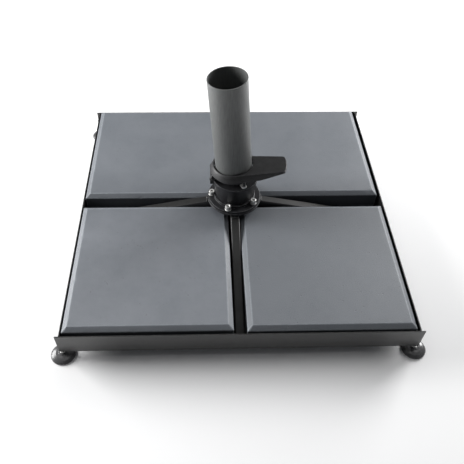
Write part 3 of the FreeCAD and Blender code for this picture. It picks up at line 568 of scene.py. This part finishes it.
def make_slab(corner):
    """A cast slab: bevelled top with soft arrises, a faintly uneven face and a few chipped spots."""
    node = "slab_" + corner
    low, high = box_mm(node)
    width, depth = high.x - low.x, high.y - low.y
    rng = random.Random(SEED + 10 + list(CORNERS).index(corner))
    chips = []
    for _ in range(9):
        along = rng.uniform(10, depth - 10)
        edge = rng.choice([0.5, BEVEL_WIDTH - 0.5])
        spot = rng.choice([(along, edge), (along, depth - edge), (edge, along), (width - edge, along)])
        chips.append((Vector(spot), rng.uniform(4, 9), rng.uniform(0.8, 2.2)))

    lines_x, lines_y = slab_lines(width), slab_lines(depth)
    last_x, last_y = len(lines_x) - 1, len(lines_y) - 1

    def height(x, y):
        gaps = [min(x, width - x), min(y, depth - y)]
        slopes = [high.z - BEVEL_DROP + BEVEL_DROP / BEVEL_WIDTH * gap for gap in gaps]
        z = soft_minimum([high.z] + slopes, 0.55)
        z -= 1.3 * max(0.0, 1 - min(gaps) / 2.6) ** 2
        for spot, reach, loss in chips:
            away = (Vector((x, y)) - spot).length / reach
            if away < 1:
                z -= loss * (1 - away * away) ** 2
        return z + 0.18 * noise.noise(Vector((x, y, rng_offset)) / 55.0)

    rng_offset = rng.uniform(0, 900)
    bm = bmesh.new()
    grid = [[bm.verts.new((low.x + x, low.y + y, height(x, y))) for y in lines_y] for x in lines_x]
    for i in range(last_x):
        for j in range(last_y):
            bm.faces.new((grid[i][j], grid[i + 1][j], grid[i + 1][j + 1], grid[i][j + 1]))
    rim = [grid[i][0] for i in range(last_x)] + [grid[last_x][j] for j in range(last_y)]
    rim += [grid[i][last_y] for i in range(last_x, 0, -1)] + [grid[0][j] for j in range(last_y, 0, -1)]
    centre = Vector((low.x + width / 2, low.y + depth / 2))
    rings = [rim]
    levels = [high.z - BEVEL_DROP - 3, high.z - BEVEL_DROP - 9, low.z + 30, low.z + 2, low.z]
    for level in levels:
        inset = 0.8 if level == low.z else 0.0
        ring = []
        for vert in rim:
            out = vert.co.xy - centre
            scale = 1 - inset / max(abs(out.x), abs(out.y))
            ring.append(bm.verts.new((centre.x + out.x * scale, centre.y + out.y * scale, level)))
        rings.append(ring)
    join_rings(bm, rings, closed_across=False)
    bm.faces.new(rings[-1])
    piece = make_piece(node + "_cast", bm, "slab_concrete", "base", [node], sharp=50)
    slab_darkness = piece.data.attributes.new("slab_darkness", "FLOAT", "POINT")
    slab_darkness.data.foreach_set("value", [SLAB_DARKNESS[corner]] * len(piece.data.vertices))


# ---------------------------------------------------------------- frame
def make_rails():
    """Angle rails with slightly rounded edges; the leg turns inwards at the bottom."""
    for name, turn in (("front", 0), ("right", 90), ("rear", 180), ("left", 270)):
        node = "rail_" + name
        low, high = box_mm(node)
        long_rail = name in ("front", "rear")
        half = (high.x - low.x) / 2 if long_rail else (high.y - low.y) / 2
        depth = 500.0
        leg_half = depth - 3.0 if long_rail else depth - 45.0
        bm = bmesh.new()
        place = turned(turn)
        block(bm, (-half, -depth, low.z), (half, -depth + 3, high.z), 0.9, place)
        block(bm, (-leg_half, -depth + 2, low.z), (leg_half, -depth + 45, low.z + 3), 0.7, place)
        make_piece(node + "_steel", bm, "frame_paint", "base", [node])


def make_corner_welds():
    """Beads down the corners where the rails and the foot sleeves meet."""
    low, high = box_mm("rail_front")
    bottom, top = low.z + 3, high.z - 4
    rng = random.Random(SEED + 1)
    bm = bmesh.new()
    for sign_x, sign_y in CORNERS.values():
        weld(bm, (sign_x * 496.4, sign_y * 496.4, bottom), (sign_x * 496.4, sign_y * 496.4, top), 2.4, rng)
        weld(bm, (sign_x * 500.6, sign_y * 496.4, 80), (sign_x * 500.6, sign_y * 496.4, top), 2.2, rng)
        weld(bm, (sign_x * 500.6, sign_y * 484.8, 36), (sign_x * 500.6, sign_y * 484.8, 76), 1.9, rng)
    make_piece("corner_welds", bm, "frame_paint", "base")


def make_sleeves():
    """Threaded foot sleeves with chamfered ends."""
    low, high = box_mm("foot_sleeves")
    bm = bmesh.new()
    outer, inner = 6.0, 4.1
    profile = rounded([(inner, low.z), (outer, low.z), (outer, high.z), (inner, high.z)], 0.7)
    for sign_x, sign_y in CORNERS.values():
        place = Matrix.Translation((sign_x * FOOT_X, sign_y * FOOT_Y, 0))
        lathe(bm, profile, 40, place)
    make_piece("foot_sleeves_turned", bm, "frame_paint", "base", ["foot_sleeves"])


def make_strips():
    """Support strips under the arms, and the round plate where they meet."""
    low, high = box_mm("support_strips")
    bm = bmesh.new()
    for turn in SIDE_TURNS.values():
        block(bm, (64.2, -46, low.z), (454.8, 46, high.z), 0.6, turned(turn))
    make_piece("support_strips_steel", bm, "frame_paint", "base", ["support_strips"])
    low, high = box_mm("core_plate")
    bm = bmesh.new()
    lathe(bm, rounded([(0.01, low.z), (64, low.z), (64, high.z), (0.01, high.z)], [0, 0.6, 0.6, 0]), 96)
    make_piece("core_plate_steel", bm, "frame_paint", "base", ["core_plate"])


# ---------------------------------------------------------------- arms
ARM_HALF, ARM_WALL, ARM_BEND = 14.0, 3.0, 4.5


def arm_section(top, bottom):
    """Outline of the folded channel, open below, at one station: (across, z)."""
    outer = [(-ARM_HALF, bottom), (-ARM_HALF, top), (ARM_HALF, top), (ARM_HALF, bottom)]
    inner_half, inner_top = ARM_HALF - ARM_WALL, top - ARM_WALL
    inner = [(inner_half, bottom), (inner_half, inner_top), (-inner_half, inner_top),
             (-inner_half, bottom)]
    return rounded(outer + inner, [0.6, ARM_BEND, ARM_BEND, 0.6, 0.6, 1.6, 1.6, 0.6], 5)


def make_arm(side):
    """A tapering folded channel from under the hub plate out to the rail."""
    node = "arm_" + side
    start, knee, end = 26.0, 53.9, 496.8
    bottom, top_start, top_end = 35.0, 140.5, 45.3
    stations = [start, 36.0] + [knee + step for step in (-8, -4, 0, 4, 8)]
    stations += [knee + 8 + (end - knee - 8) * k / 16 for k in range(1, 17)]
    bm = bmesh.new()
    rings = []
    for reach in stations:
        slope = top_start - (reach - knee) * (top_start - top_end) / (end - knee)
        top = soft_minimum([top_start, slope], 0.6)
        rings.append([bm.verts.new((reach, across, z)) for across, z in arm_section(top, bottom)])
    join_rings(bm, rings, closed_across=False)
    bm.faces.new(rings[0][::-1])
    bm.faces.new(rings[-1])
    block(bm, (456, -10.9, bottom), (end - 0.3, 10.9, bottom + ARM_WALL), 0.5)
    bmesh.ops.transform(bm, matrix=turned(SIDE_TURNS[side]), verts=bm.verts)
    make_piece(node + "_folded", bm, "frame_paint", "base", [node])


def make_hub_welds():
    """Beads where the arms meet the hub plate and the rails."""
    rng = random.Random(SEED + 2)
    bm = bmesh.new()
    for turn in SIDE_TURNS.values():
        spin = turned(turn)
        for start, end, radius in (((62, -15.0, 139.4), (30, -15.0, 139.4), 2.6),
                                   ((62, 15.0, 139.4), (30, 15.0, 139.4), 2.6),
                                   ((88.6, -12.5, 134.6), (88.6, 12.5, 134.6), 2.6),
                                   ((495.6, -13.0, 47.5), (495.6, 13.0, 47.5), 2.2)):
            weld(bm, spin @ Vector(start), spin @ Vector(end), radius, rng)
    make_piece("arm_welds", bm, "frame_paint", "base")


# ---------------------------------------------------------------- screws
def hexagon(across_flats, soft=0.6):
    """Outline of a hexagon with slightly rounded corners."""
    reach = across_flats / 2 / math.cos(math.pi / 6)
    corners = [(reach * math.cos(math.radians(60 * k)), reach * math.sin(math.radians(60 * k)))
               for k in range(6)]
    return rounded(corners, soft, 2)


def socket_screw(bm, place, radius, low, high, shank, shank_low, socket):
    """Socket head screw with a knurled rim and a hexagonal recess."""
    sides = 72
    recess = high - (high - low) * 0.55
    rings = []

    def ring(radius_at, z):
        points = []
        for index in range(sides):
            angle = 2 * math.pi * index / sides
            r = radius_at(angle, index)
            points.append(bm.verts.new((r * math.cos(angle), r * math.sin(angle), z)))
        rings.append(points)

    def plain(value):
        return lambda angle, index: value

    def knurl(angle, index):
        return radius - (0.35 if index % 2 else 0.0)

    def hex_at(angle, index):
        fold = (angle + math.pi / 6) % (math.pi / 3) - math.pi / 6
        return socket / 2 / math.cos(fold)

    ring(plain(shank), shank_low)
    ring(plain(shank), low)
    ring(plain(radius - 0.8), low)
    ring(plain(radius - 0.3), low + 0.5)
    ring(knurl, low + 1.2)
    ring(knurl, high - 2.0)
    ring(plain(radius - 0.2), high - 1.4)
    ring(plain(radius - 0.5), high - 0.5)
    ring(plain(radius - 1.2), high)
    ring(lambda a, i: hex_at(a, i) + 0.5, high)
    ring(hex_at, high - 0.5)
    ring(hex_at, recess)
    ring(plain(0.4), recess - 1.0)
    join_rings(bm, rings, closed_across=False)
    bm.faces.new(rings[0][::-1])
    bm.faces.new(rings[-1])
    put(bm, [vert for points in rings for vert in points], place)


def hex_screw(bm, place, across, low, high, shank, shank_low):
    """Hexagon head on a plain shank with a broken lower edge."""
    prism(bm, hexagon(across), low, high, 0.7, place)
    lathe(bm, [(0.01, shank_low), (shank - 0.6, shank_low), (shank, shank_low + 0.8), (shank, low + 0.1),
               (0.01, low + 0.1)], 32, place)


def bolt_spots():
    """Where the five screws stand, evenly round the hub."""
    return [(SCREW_CIRCLE * math.cos(math.radians(a)), SCREW_CIRCLE * math.sin(math.radians(a)))
            for a in (-36 - 72 * k for k in range(5))]


def make_ring_screws():
    """The five screws of the retainer ring with their washers."""
    low, high = box_mm("ring_washers")
    head_high = box_mm("ring_bolts")[1].z
    shank_low = box_mm("ring_bolts")[0].z
    rng = random.Random(SEED + 3)
    screws, washers = bmesh.new(), bmesh.new()
    for x, y in bolt_spots():
        place = Matrix.Translation((x, y, 0)) @ turned(rng.uniform(0, 60))
        socket_screw(screws, place, 9.2, high.z, head_high, 5.0, shank_low, 8.0)
        profile = rounded([(5.3, low.z), (10.4, low.z), (10.4, high.z), (5.3, high.z)], 0.5)
        lathe(washers, profile, 56, place)
    make_piece("ring_screws_zinc", screws, "zinc", "base", ["ring_bolts"], sharp=30)
    make_piece("ring_washers_zinc", washers, "zinc", "base", ["ring_washers"])


def make_arm_screws():
    """Bolts and nuts that hold the arm ends to the rails."""
    low, high = box_mm("arm_end_bolts")
    nut_low, nut_high = box_mm("arm_end_nuts")
    screws, nuts = bmesh.new(), bmesh.new()
    for turn in SIDE_TURNS.values():
        place = turned(turn) @ Matrix.Translation((474, 0, 0))
        hex_screw(screws, place, 13, high.z - 5.3, high.z, 4.0, low.z)
        outer = hexagon(13)
        prism(nuts, outer, nut_low.z, nut_high.z, 0.6, place)
    make_piece("arm_end_screws_zinc", screws, "zinc", "base", ["arm_end_bolts"])
    make_piece("arm_end_nuts_zinc", nuts, "zinc", "base", ["arm_end_nuts"])


# ---------------------------------------------------------------- hub
def make_hub_plate():
    """Lower plate, with a shallow ring-shaped well that the plunger's toe dips into."""
    low, high = box_mm("hub_plate")
    well = high.z - 2.5
    bm = bmesh.new()
    outline = [(24.05, low.z), (87, low.z), (87, high.z), (61.6, high.z), (61.6, well), (48.6, well),
               (48.6, high.z), (24.05, high.z)]
    lathe(bm, rounded(outline, [0.3, 1.0, 2.2, 0.2, 0.3, 0.3, 0.2, 0.3], 5), 192)
    make_piece("hub_plate_turned", bm, "cast_black", "base", ["hub_plate"])


def make_retainer():
    """Upper plate with its raised collar, relieved for the five screw heads."""
    low, high = box_mm("retainer_ring")
    bm = bmesh.new()
    top = low.z + 7.5
    outline = [(61.6, low.z), (84, low.z), (84, top), (66, top), (66, high.z), (58.8, high.z),
               (58.8, low.z + 9.5), (61.6, low.z + 9.5)]
    lathe(bm, rounded(outline, [0.3, 0.5, 1.2, 1.6, 1.6, 0.8, 0.3, 0.3], 5), 240)
    piece = make_piece("retainer_ring_turned", bm, "cast_black", "base", ["retainer_ring"])
    cutter = bmesh.new()
    for x, y in bolt_spots():
        lathe(cutter, [(0.01, top), (10.8, top), (10.8, high.z + 4), (0.01, high.z + 4)], 64,
              Matrix.Translation((x, y, 0)))
    bmesh.ops.remove_doubles(cutter, verts=cutter.verts, dist=0.05)
    cut(piece, cutter)


def plunger_place():
    """Frame whose X axis runs from the hub's axis out through the lock plunger."""
    return turned(math.degrees(math.atan2(PLUNGER_Y, PLUNGER_X)))


def cut_plunger_passage(bell):
    """Cuts the guide bore of the plunger's rod and the gap in the flange for its toe."""
    axis = Matrix.Translation((PLUNGER_DISTANCE, 0, 0))
    bore = bmesh.new()
    lathe(bore, [(0.01, 148), (4.25, 148), (4.25, 240), (0.01, 240)], 48, plunger_place() @ axis)
    bmesh.ops.remove_doubles(bore, verts=bore.verts, dist=0.05)
    cut(bell, bore)
    gap = bmesh.new()
    block(gap, (47.5, -7, 147), (64, 7, 155.6), 0.2, plunger_place())
    cut(bell, gap)


def make_turret():
    """The bell-shaped casting with its ledge, neck, leaning shoulder and pin lug."""
    bm = bmesh.new()
    outline = [(30.25, 149.6), (61.2, 149.6), (61.2, 155.6), (58.4, 155.6), (58.4, 163), (60.2, 166),
               (72, 231), (72, 236), (47, 236), (47, 258), (40, 258), (40, 234), (30.25, 234)]
    radii = [0.3, 0.5, 0.5, 0.3, 1.2, 2.5, 3.0, 1.6, 0.6, 0.5, 0.3, 0.3, 0.3]
    lathe(bm, rounded(outline, radii, 6), 192)
    bell = make_piece("turret_cast", bm, "cast_black", "turret", ["turret"])
    cut_plunger_passage(bell)
    bm = bmesh.new()
    tilt = mast_frame()
    lathe(bm, rounded([(41.5, 40), (55.6, 40), (55.6, 43), (52.9, 43), (52.9, 100), (44, 100)],
                      [0, 0.8, 0.5, 0.2, 1.5, 0.2], 4), 144, tilt)
    lug = [(-79, 222), (-61, 222), (-61, 253), (-68, 257), (-76, 257), (-79, 253)]
    sideways = Matrix.Rotation(math.radians(90), 4, "X")
    prism(bm, rounded(lug, [2, 0.3, 3, 3, 3, 3], 4), -23.6, 23.6, 1.2, sideways)
    make_piece("turret_spigot_cast", bm, "cast_black", "turret")


def make_mast():
    """Lacquered tube with softly broken ends and a reamed socket at the top."""
    bm = bmesh.new()
    outline = [(53, 43), (56.7, 43), (56.7, 382), (53.6, 382), (53.6, 302), (53, 302)]
    lathe(bm, rounded(outline, [0.5, 0.7, 0.9, 0.6, 0.2, 0.2], 4), 256, mast_frame())
    make_piece("mast_tube", bm, "mast_paint", "turret", ["mast"])


def make_mast_screws():
    """Button-head screws that hold the mast on its spigot."""
    bm = bmesh.new()
    for turn in (50, 130):
        aim = mast_frame() @ turned(turn) @ Matrix.Rotation(math.radians(90), 4, "Y")
        place = aim @ Matrix.Translation((-52, 0, 0))
        cap = [(0.01, 45.0), (3.9, 45.0), (3.9, 56.7), (7, 56.7), (6.2, 58.6), (3.4, 59.3), (0.01, 59.4)]
        lathe(bm, cap, 40, place)
    make_piece("mast_screws_zinc", bm, "zinc", "turret", ["mast_screws"])


# ---------------------------------------------------------------- pedal
COLLAR_BORE, COLLAR_TOP, COLLAR_LIP = 60.5, 63.3, 74.0
COLLAR_LOW, COLLAR_HIGH = 59.0, 80.0
SKIRT_IN, SKIRT_OUT, SKIRT_LOW = 62.5, 65.0, 46.0
SKIRT_ARCS = ((8.5, 156.5), (203.5, 351.5))
PADDLE_LOWER = [(7, -73.7), (148, -61), (154, -58), (159.5, -43), (162.5, -22), (162.5, 0),
                (160, 11), (156, 14), (58, 30), (20, 34)]
PADDLE_UPPER = [(6, -63.2), (147, -59), (152, -56), (157.5, -42), (160.5, -22), (160.5, -2),
                (158, 8), (154, 11.3), (58, 24.6), (20, 29)]
PADDLE_CORNERS = [0, 12, 12, 20, 20, 14, 8, 8, 20, 0]
PEDAL_SLICES = 720


def outline_radii(corners, least):
    """Distance to an outline's edge in each direction, but never under the collar's own radius."""
    soft = rounded(corners, PADDLE_CORNERS, 8)
    radii = []
    for index in range(PEDAL_SLICES):
        angle = 2 * math.pi * index / PEDAL_SLICES
        ray = Vector((math.cos(angle), math.sin(angle)))
        radii.append(max([least] + [ray_hit(ray, start, end) for start, end in zip(soft, soft[1:])]))
    return radii


def paddle_underside(x):
    """Height of the paddle's underside, which rises towards the tip."""
    if x < 78:
        return COLLAR_LOW
    if x < 145:
        return COLLAR_LOW + (x - 78) / (145 - 78) * 14.5
    return COLLAR_HIGH - 6.5 + (x - 145) / (190 - 145) * 3.0


def pedal_slice(angle, lower, upper):
    """Section of collar and paddle in one direction from the mast axis: (radius, height)."""
    under = []
    for step in range(7):
        radius = SKIRT_OUT + (lower - SKIRT_OUT) * step / 6
        under.append((radius, paddle_underside(radius * math.cos(angle))))
    edge = under[-1][1]
    rise = COLLAR_HIGH - edge
    wall = []
    for share_up, share_in in ((0.12, 0.0), (0.24, 0.09), (0.52, 0.33), (0.81, 0.65)):
        wall.append((lower + (upper - lower) * share_in, edge + rise * share_up))
    top = [(upper, COLLAR_HIGH), (COLLAR_BORE, COLLAR_HIGH), (COLLAR_BORE, 71), (SKIRT_IN, COLLAR_LOW)]
    radii = [0] * 6 + [0.6] + [0.6, 4, 8, 8] + [6, 0.8, 2, 0.4]
    return rounded(under + wall + top, radii, 4)


def ray_hit(ray, start, end):
    """Distance along a ray from the centre to a line segment, or zero."""
    along = end - start
    bottom = ray.x * along.y - ray.y * along.x
    if abs(bottom) < 1e-9:
        return 0.0
    distance = (start.x * along.y - start.y * along.x) / bottom
    share = (start.x * ray.y - start.y * ray.x) / bottom
    return distance if distance > 0 and 0 <= share <= 1 else 0.0


def make_skirt(bm):
    """The collar's inner skirt, open at the turret's lug and at the spring."""
    section = rounded([(SKIRT_IN, SKIRT_LOW), (SKIRT_OUT, SKIRT_LOW), (SKIRT_OUT, COLLAR_LOW + 0.4),
                       (SKIRT_IN, COLLAR_LOW + 0.4)], 0.6)
    for first, last in SKIRT_ARCS:
        rings = []
        for index in range(81):
            angle = math.radians(first + (last - first) * index / 80)
            rings.append([bm.verts.new((r * math.cos(angle), r * math.sin(angle), z)) for r, z in section])
        join_rings(bm, rings, closed_across=False)
        bm.faces.new(rings[0][::-1])
        bm.faces.new(rings[-1])


def make_pedal():
    """Flared collar and paddle in one casting, with two hinge ears and the plunger's push stub."""
    bm = bmesh.new()
    lower_radii = outline_radii(PADDLE_LOWER, COLLAR_LIP)
    upper_radii = outline_radii(PADDLE_UPPER, COLLAR_TOP)
    rings = []
    for index, (lower, upper) in enumerate(zip(lower_radii, upper_radii)):
        angle = 2 * math.pi * index / PEDAL_SLICES
        direction = Vector((math.cos(angle), math.sin(angle), 0))
        profile = pedal_slice(angle, lower, min(upper, lower - 1.0))
        rings.append([bm.verts.new(direction * r + Vector((0, 0, z))) for r, z in profile])
    join_rings(bm, rings)
    make_skirt(bm)
    pivot = mast_frame().inverted() @ Vector(PIN_PLACE)
    sideways = Matrix.Rotation(math.radians(90), 4, "X")
    for low, high, reach in ((24, 32, 8.5), (-32, -24, 6.6)):
        knuckle = [(pivot.x + reach * math.cos(math.radians(-180 * k / 14)),
                    pivot.z + reach * math.sin(math.radians(-180 * k / 14))) for k in range(15)]
        ear = [(pivot.x + reach, COLLAR_LOW + 2)] + knuckle + [(pivot.x + 1.5, COLLAR_LOW + 2)]
        prism(bm, ear, low, high, 1.0, sideways)
    bmesh.ops.transform(bm, matrix=mast_frame(), verts=bm.verts)
    stub = mast_frame() @ Matrix.Translation((28.5, -61.5, 0))
    lathe(bm, rounded([(0.01, 36), (4, 36), (4, 60), (0.01, 60)], [0, 0.6, 0, 0]), 32, stub)
    make_piece("pedal_cast", bm, "pedal_black", "pedal", ["pedal"])


def make_pin():
    """Hinge pin of the pedal and the two clips that keep it in place."""
    sideways = Matrix.Translation(PIN_PLACE) @ Matrix.Rotation(math.radians(90), 4, "X")
    pin, clips = bmesh.new(), bmesh.new()
    lathe(pin, rounded([(0.01, -36), (4, -36), (4, 36), (0.01, 36)], [0, 0.8, 0.8, 0]), 48, sideways)
    for low in (32.5, -33.7):
        section = rounded([(4.05, low), (6.5, low), (6.5, low + 1.2), (4.05, low + 1.2)], 0.3)
        lathe(clips, section, 40, sideways)
    make_piece("pedal_pin_turned", pin, "pin_black", "turret", ["pedal_pin"])
    make_piece("pin_clips_black", clips, "pin_black", "turret", ["pin_clips"])


def make_spring():
    """Return spring between the turret's ledge and the collar."""
    low, high = box_mm("pedal_spring")
    wire, radius, turns = 0.8, 4.6, 7
    bottom, top = 236 + wire, high.z - wire
    points = []
    for index in range(turns * 24 + 1):
        share = index / (turns * 24)
        angle = 2 * math.pi * turns * share
        points.append(Vector((64 + radius * math.cos(angle), radius * math.sin(angle),
                              bottom + (top - bottom) * share)))
    bm = bmesh.new()
    tube_along(bm, points, lambda index: wire, 10)
    piece = make_piece("pedal_spring_coil", bm, "zinc", "turret", ["pedal_spring"])
    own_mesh(piece)


def make_plunger():
    """Lock plunger: guide rod, flat head under the collar and toe under the retainer's lip."""
    place = plunger_place()
    bm = bmesh.new()
    lathe(bm, rounded([(0.01, 151.6), (4, 151.6), (4, 243), (0.01, 243)], [0, 0.6, 0, 0]), 40,
          place @ Matrix.Translation((PLUNGER_DISTANCE, 0, 0)))
    head = rounded([(48, -7.5), (71, -7.5), (71, 7.5), (48, 7.5)], 3.5, 5)
    prism(bm, head, 241.5, 247.5, 1.3, place)
    block(bm, (49.2, -6, 151.6), (60.6, 6, 155.2), 0.5, place)
    make_piece("lock_plunger_zinc", bm, "zinc", "lock_plunger", ["lock_plunger"])


# ---------------------------------------------------------------- feet
def threaded_rod(bm, place, radius, low, high, pitch=1.25, sides=28):
    """A rod whose surface follows a screw thread."""
    rows = int((high - low) / pitch * 6)
    rings = []
    for row in range(rows + 1):
        z = low + (high - low) * row / rows
        ring = []
        for k in range(sides):
            angle = 2 * math.pi * k / sides
            phase = (z / pitch - k / sides) % 1.0
            depth = 0.68 * abs(2 * phase - 1) * 0.9
            ring.append(bm.verts.new(((radius - depth) * math.cos(angle),
                                      (radius - depth) * math.sin(angle), z)))
        rings.append(ring)
    join_rings(bm, rings, closed_across=False)
    bm.faces.new(rings[0][::-1])
    bm.faces.new(rings[-1])
    put(bm, [vert for ring in rings for vert in ring], place)


def make_foot(corner):
    """Domed levelling pad on a threaded stud with a hexagon for the spanner."""
    low, high = box_mm("foot_pad_" + corner)
    centre = (low + high) / 2
    place = Matrix.Translation((centre.x, centre.y, 0))
    bm = bmesh.new()
    outline = [(0.01, 0), (33.6, 0), (35, 1.4), (35, 4.2), (33.2, 6.8), (28, 10.0), (19.5, 12.8),
               (12, 13.8), (10.5, 15.0), (0.01, 15.0)]
    lathe(bm, rounded(outline, [0, 0.6, 0.8, 1.6, 6, 8, 8, 1.2, 1.0, 0], 5), 112, place)
    make_piece("foot_pad_%s_moulded" % corner, bm, "foot_plastic", "foot_" + corner,
               ["foot_pad_" + corner], sharp=50)
    bm = bmesh.new()
    prism(bm, hexagon(13), 15.02, 20, 0.6, place)
    threaded_rod(bm, place, 4.0, 19.5, 62)
    make_piece("foot_stud_%s_zinc" % corner, bm, "zinc", "foot_" + corner, ["foot_stud_" + corner], sharp=50)


# ---------------------------------------------------------------- whole model
def paint_remaining_nodes():
    """CAD nodes that stay as they are take their slot's material."""
    for entry in frame["record"]["subparts"]:
        node = frame["nodes"][entry["node"]]
        if not node.hide_render:
            node.data.materials.clear()
            node.data.materials.append(MATERIALS[entry["material_slot"]])


make_camera()
make_lights()
make_floor()
bpy.context.scene.view_settings.view_transform = "Standard"
for corner_name in CORNERS:
    make_slab(corner_name)
    make_foot(corner_name)
for side_name in SIDE_TURNS:
    make_arm(side_name)
make_rails()
make_corner_welds()
make_sleeves()
make_strips()
make_hub_welds()
make_arm_screws()
make_hub_plate()
make_retainer()
make_ring_screws()
make_turret()
make_mast()
make_mast_screws()
make_pedal()
make_pin()
make_spring()
make_plunger()
paint_remaining_nodes()
